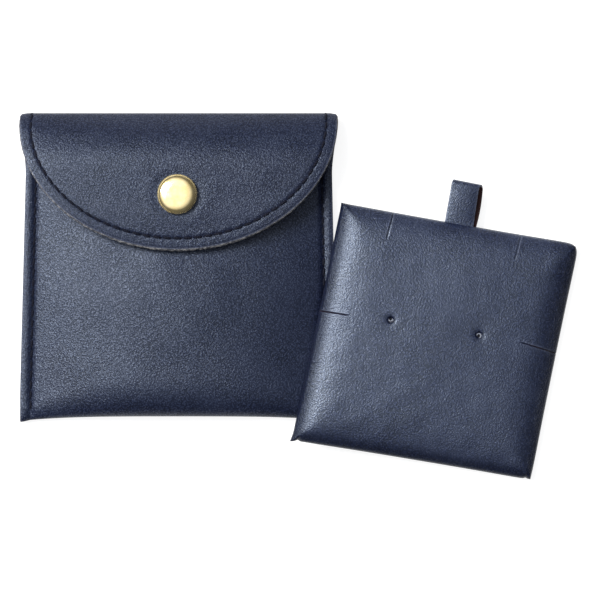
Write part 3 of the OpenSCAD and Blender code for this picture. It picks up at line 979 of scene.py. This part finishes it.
def cover():
    """The padded cover: its face, its sides, and the hem turned in underneath."""
    top, dip, lip, shade, from_hole = cover_top()
    m, n = dip.shape
    flat = top.reshape(-1, 3)
    rim = rim_of(m, n)
    inward = -flat[rim] * [1, 1, 0]
    inward /= np.maximum(np.abs(inward).max(1, keepdims=True), 1e-9)
    rings = []
    for share, pull in HEM:
        ring = flat[rim] + inward * pull
        ring[:, 2] = flat[rim, 2] * share + 0.02
        rings.append(ring)
    rings.append(rings[-1] * [1, 1, 0] + [0, 0, 0.55])
    points = np.concatenate([flat, *rings, [[0, 0, 0.55]]])
    chain = chain_of(rim, m * n, len(rings))
    quads, walls = quads_of(m, n), walls_of(chain)
    faces = [*quads, *walls, *fan_of(chain[-1], len(points) - 1)]
    dark = (dip.ravel()[quads].mean(1) > 0.62) | (from_hole.ravel()[quads].mean(1) < 0.6)
    which = np.concatenate([dark, np.zeros(len(walls) - len(rim)), np.ones(2 * len(rim))])
    wear = np.zeros(len(points))
    wear[: m * n] = 0.22 * np.clip(lip, 0, 1).ravel() * (1 - dip.ravel())
    # Painted shade down the cover's sides and under its hem; the face takes its painted shade from cover_top.
    painted_side_shade = np.full(len(points), 0.8)
    painted_side_shade[: m * n] = shade.ravel()
    look = [CARD_LEATHER, BACKING]
    return make("card_cover_leather", placed(points), faces, look, which, points, wear, painted_side_shade)


card_leather = cover()


def foam_core(n=41):
    """The foam under the cover: the same crown, a little lower and smaller."""
    drop, low, share = 1.75, 1.84, (HALF - 1.0) / HALF
    t = np.linspace(-1, 1, n)
    x, y, z = card_profile(*np.meshgrid(t, t, indexing="ij"))
    z = np.maximum(low + 0.1, np.minimum(z, CARD_T) - drop)
    top = np.stack([*skewed(x * share, y * share), z], 2).reshape(-1, 3)
    points = np.concatenate([top, top * [1, 1, 0] + [0, 0, low]])
    rim, quads = rim_of(n, n), quads_of(n, n)
    faces = np.concatenate([quads, quads[:, ::-1] + n * n, walls_of([rim, rim + n * n])])
    return make("card_foam_core", placed(points), faces, [FOAM], np.zeros(len(faces)), points)


card_foam = foam_core()
BACK_HALF = HALF - 6.2


def back_sheet():
    """The sheet glued under the card, with rounded corners and softened edges."""
    high, radius = 0.42, 2.5
    points = []
    for inset, z in ((0.0, 0.0), (0.0, high - 0.1), (0.12, high), (2.0, high)):
        r = max(radius - inset, 0.05)
        for sx, sy, start in ((1, 1, 0), (-1, 1, 90), (-1, -1, 180), (1, -1, 270)):
            for a in np.radians(np.linspace(start, start + 90, 9)):
                x = sx * (BACK_HALF - radius) + r * math.cos(a)
                y = sy * (BACK_HALF - radius) + r * math.sin(a)
                points.append((*skewed(x, y), z))
    chain = list(np.arange(len(points)).reshape(4, -1))
    points += [(0, 0, 0.0), (0, 0, high)]
    under, over = fan_of(chain[0], len(points) - 2)[:, ::-1], fan_of(chain[-1], len(points) - 1)
    faces = [*walls_of(chain), *under, *over]
    return make("card_back_sheet", placed(points), faces, [SUEDE], np.zeros(len(faces)), points)


card_backing = back_sheet()

eyelets = []
for (hole_x, hole_y), name in zip(HOLES_AT, ("left", "right")):
    top = CARD_T - 0.22
    ring = [(0.45, 0.06), (0.45, top - 0.14), (0.5, top), (0.6, top + 0.05), (0.72, top + 0.03),
            (0.8, top - 0.08), (0.81, top - 0.26), (0.81, 0.06)]
    eyelets.append(lathe(f"eyelet_{name}_tube", ring, placed([(hole_x, hole_y, 0)])[0], EYELET, 40, AXES))


# ---------------------------------------------------------------- the pull loop
def loop_strap():
    """A strip that leaves the card's top edge, bends over and comes back behind itself, its back leg a
    little to the right."""
    width, t = 8.2, 0.6
    front_low, front_high, back_low, back_high = 1.98, 3.2, 0.62, 0.4
    tip, r = HALF + 12.1, (front_high - back_high) / 2
    path, shift = [], []
    for k in np.linspace(0, 1, 30, endpoint=False):
        y = HALF - 1.6 + (tip - r - HALF + 1.6) * k
        path.append((y, front_low + (front_high - front_low) * math.sin(math.pi / 2 * k)))
        shift.append(-0.035 * (y - HALF) + 0.2)
    lean = shift[-1]
    for a in np.radians(np.linspace(0, 180, 18, endpoint=False)):
        path.append((tip - r + r * math.sin(a), back_high + r + r * math.cos(a)))
        shift.append(lean + 1.25 * ease(a / math.pi))
    for k in np.linspace(0, 1, 30):
        y = tip - r - (tip - r - HALF + 1.6) * k
        path.append((y, back_high + (back_low - back_high) * k))
        shift.append(lean + 1.25 - 0.1 * k + 0.35 * math.sin(math.pi * k))
    path, shift = np.array(path), np.array(shift)
    w = np.array([-1, -0.965, -0.8, -0.5, -0.2, 0.2, 0.5, 0.8, 0.965, 1]) * width / 2
    grid = np.zeros((len(path), len(w), 3))
    for i in range(len(path)):
        cup = 0.5 * (np.abs(w) / (width / 2)) ** 2.5 * (1 - ease((i - 24) / 14)) * ease(i / 10)
        narrow = 1 - 0.03 * ease((path[i, 0] - HALF) / 10) * (1 - ease((i - 34) / 12))
        grid[i, :, 0] = w * narrow + shift[i]
        grid[i, :, 1] = path[i, 0]
        grid[i, :, 2] = path[i, 1] - cup
    run = np.concatenate([[0], np.cumsum(np.linalg.norm(np.diff(path, axis=0), axis=1))])
    coords = np.stack([*np.broadcast_arrays(w, run[:, None]), np.zeros(grid.shape[:2])], 2)
    flat = placed(grid.reshape(-1, 3)).reshape(grid.shape)
    up = normals_of(flat)
    if up[5, 4] @ axis_z < 0:
        flat, coords = flat[:, ::-1], coords[:, ::-1]
    edge = np.broadcast_to(np.abs(w) / (width / 2), flat.shape[:2])
    return sheet("pull_loop_strap", flat, t, coords, [CARD_LEATHER, BACKING, EDGE_DARK],
                 wear=0.3 * bump(1 - edge, 0.05), proud=0.05)


loop = loop_strap()


# ---------------------------------------------------------------- bodies
def bare(node, material):
    """Gives a CAD node that is shown as it is a material, and the texture coordinates that this reads."""
    mesh = nodes[node].data
    co = np.zeros(len(mesh.vertices) * 3, np.float32)
    mesh.vertices.foreach_get("co", co)
    kept = mesh.attributes.new("grain_co", "FLOAT_VECTOR", "POINT")
    kept.data.foreach_set("vector", co * 1000)
    for slot in nodes[node].material_slots:
        slot.material = material


for node in ("snap_stud", "snap_post", "snap_socket"):
    bare(node, BRASS_INNER)
bare("snap_spring", STEEL)
bare("card_board", BOARD)

for piece, body, stands_for in (
        (pouch_leather, "pouch", "outer_shell"), (pouch_lining, "pouch", "pocket_lining"),
        (thread_left, "pouch", "side_stitch_left"), (thread_right, "pouch", "side_stitch_right"),
        (snap_dome, "flap", "snap_cap"), (card_leather, "card", "card_cover"),
        (card_foam, "card", "card_foam"), (card_backing, "card", "card_back"),
        (eyelets[0], "card", "eyelet_left"), (eyelets[1], "card", "eyelet_right")):
    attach(piece, body)
    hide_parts(stands_for)

for piece, stands_for in ((flap_leather, ("fold_outer", "flap_outer")),
                          (flap_lining, ("fold_lining", "flap_lining")),
                          (thread_flap, ("flap_stitch",))):
    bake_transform(piece)
    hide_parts(*stands_for)
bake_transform(loop)
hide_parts("pull_loop", "loop_tail")


# ---------------------------------------------------------------- floor, light and camera
FLOOR_HALF, FLOOR_Z = 20, -0.0002
floor_mesh = bpy.data.meshes.new("floor")
corners = [(x * FLOOR_HALF, y * FLOOR_HALF, FLOOR_Z) for x, y in ((-1, -1), (1, -1), (1, 1), (-1, 1))]
floor_mesh.from_pydata(corners, [], [(0, 1, 2, 3)])
floor = add_object("floor", floor_mesh)
paper = Nodes("floor_paper")
tooth = paper.noise(paper.add("ShaderNodeNewGeometry").outputs["Position"], 40.0, 2.0, 0.5)
tone = paper.mix(tooth, srgb(146, 146, 147), srgb(154, 154, 154))
floor_mesh.materials.append(paper.finish(Base_Color=tone, Roughness=0.9, Emission_Color=(1, 1, 1, 1),
                                         Emission_Strength=0.84))


light = bpy.data.lights.new("softbox_left", "AREA")
light.shape = "RECTANGLE"
light.size, light.size_y = 0.42, 0.55
light.energy = 19.0
light.color = (1.0, 0.985, 0.965)
softbox = add_object("softbox_left", light)
softbox.location = (-0.56, 0.34, 0.78)
softbox.rotation_euler = (Vector((0.02, 0.0, 0.0)) - softbox.location).to_track_quat("-Z", "Y").to_euler()

world = bpy.data.worlds.new("studio")
bpy.context.scene.world = world
world.use_nodes = True
tree = world.node_tree
sky = tree.nodes["Background"]
way = tree.nodes.new("ShaderNodeTexCoord")
dot = tree.nodes.new("ShaderNodeVectorMath")
dot.operation = "DOT_PRODUCT"
dot.inputs[1].default_value = (-0.24, 0.14, 0.9606)
tree.links.new(way.outputs["Generated"], dot.inputs[0])
glow = tree.nodes.new("ShaderNodeMapRange")
glow.interpolation_type = "SMOOTHSTEP"
for key, value in (("From Min", 0.55), ("From Max", 1.0), ("To Min", 0.012), ("To Max", 1.6)):
    glow.inputs[key].default_value = value
tree.links.new(dot.outputs["Value"], glow.inputs["Value"])
tree.links.new(glow.outputs["Result"], sky.inputs["Strength"])
sky.inputs["Color"].default_value = (0.96, 0.975, 1.0, 1)

ELEVATION = math.radians(87.5)
REACH = 0.70
aim = Vector((0.0330, -0.0079, 0.004))
back = Vector((0, -math.cos(ELEVATION), math.sin(ELEVATION)))
camera = add_object("camera", bpy.data.cameras.new("camera"))
camera.location = aim + back * REACH
camera.rotation_euler = (-back).to_track_quat("-Z", "Y").to_euler()
camera.data.sensor_width = 36
camera.data.lens = 36 * REACH / 0.1671
camera.data.clip_start = 0.01
bpy.context.scene.camera = camera
bpy.context.scene.view_settings.view_transform = "Standard"
